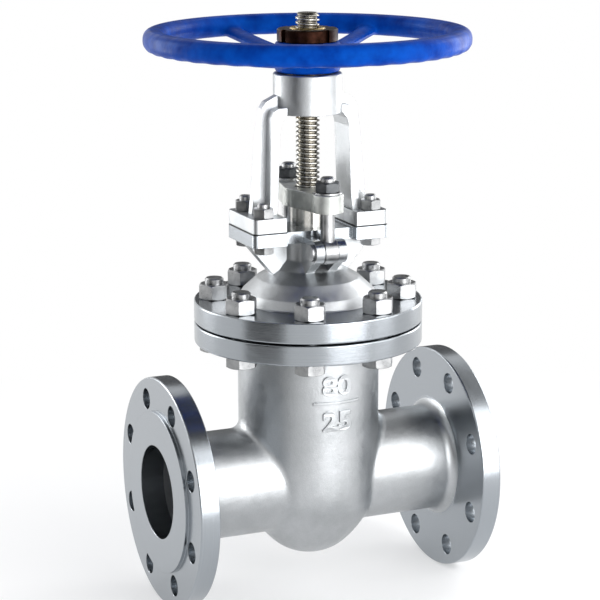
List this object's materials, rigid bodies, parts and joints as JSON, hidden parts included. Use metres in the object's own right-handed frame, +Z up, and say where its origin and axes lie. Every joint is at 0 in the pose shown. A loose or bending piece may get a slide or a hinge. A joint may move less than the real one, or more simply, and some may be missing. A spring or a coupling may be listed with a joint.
{
  "type": "gate valve",
  "caption": "Flanged rising-stem wedge gate valve with bolted bonnet, open yoke, bolted gland and a spoked handwheel.",
  "frame": {"origin": "centre of the inlet flange's raised face, on the pipe axis", "axes": "+X along the pipe towards the outlet, +Z up along the stem, +Y to the back"},
  "size_m": [0.28, 0.274, 0.496],
  "materials": {
    "cast_stainless": "blasted stainless castings with turned flanges",
    "blue_paint": "glossy thick blue paint",
    "zinc_steel": "zinc-plated",
    "dark_steel": "blackened",
    "green_grey_paint": "satin",
    "stainless": "turned",
    "gate_steel": "cast, with machined seat bands",
    "brown_bronze": "dark oxidised bronze",
    "brass": "machined",
    "graphite": "matt, compressed graphite"
  },
  "bodies": {
    "valve_body": {"body": "cast_stainless", "seat_ring_inlet": "stainless", "seat_ring_outlet": "stainless", "bonnet_gasket": "graphite", "bonnet": "cast_stainless", "bonnet_bolts": "zinc_steel", "bonnet_nuts": "zinc_steel", "backseat_bushing": "stainless", "packing_washer": "stainless", "packing_ring_1": "graphite", "packing_ring_2": "graphite", "packing_ring_3": "graphite", "packing_ring_4": "graphite", "packing_ring_5": "graphite", "yoke": "cast_stainless", "yoke_bolts": "zinc_steel", "yoke_nuts": "zinc_steel", "thrust_washer_lower": "stainless", "thrust_washer_upper": "stainless", "yoke_retainer_ring": "dark_steel", "eyebolt_front": "zinc_steel", "eyebolt_rear": "zinc_steel", "eyebolt_pin_front": "zinc_steel", "eyebolt_pin_rear": "zinc_steel"},
    "stem_assembly": {"stem": "stainless", "gate": "gate_steel"},
    "wheel_assembly": {"handwheel": "blue_paint", "stem_nut": "brass", "wheel_key": "zinc_steel", "lock_nut": "brown_bronze"},
    "gland_assembly": {"gland": "stainless", "gland_flange": "green_grey_paint", "gland_washers": "zinc_steel"},
    "gland_nut_a": {"gland_nut_front": "dark_steel"},
    "gland_nut_b": {"gland_nut_rear": "dark_steel"}
  },
  "joints": [
    {"name": "handwheel_spin", "type": "hinge", "parent": "valve_body", "child": "wheel_assembly", "pos_m": [0.14, 0, 0.36], "axis": [0, 0, 1], "range_deg": [0, 7920]},
    {"name": "stem_lift", "type": "slide", "parent": "valve_body", "child": "stem_assembly", "axis": [0, 0, 1], "range_m": [0, 0.088]},
    {"name": "gland_nut_front_spin", "type": "hinge", "parent": "gland_assembly", "child": "gland_nut_a", "pos_m": [0.14, -0.041, 0.258], "axis": [0, 0, 1], "range_deg": [0, 1029]},
    {"name": "gland_nut_rear_spin", "type": "hinge", "parent": "gland_assembly", "child": "gland_nut_b", "pos_m": [0.14, 0.041, 0.258], "axis": [0, 0, 1], "range_deg": [0, 1029]},
    {"name": "gland_slide", "type": "slide", "parent": "valve_body", "child": "gland_assembly", "axis": [0, 0, 1], "range_m": [0, 0.005]}
  ],
  "couplings": [
    {"joint": "stem_lift", "follows": "handwheel_spin", "m_per_rad": 0.00063662},
    {"joint": "gland_nut_front_spin", "follows": "gland_slide", "rad_per_m": 3590.4},
    {"joint": "gland_nut_rear_spin", "follows": "gland_slide", "rad_per_m": 3590.4}
  ]
}
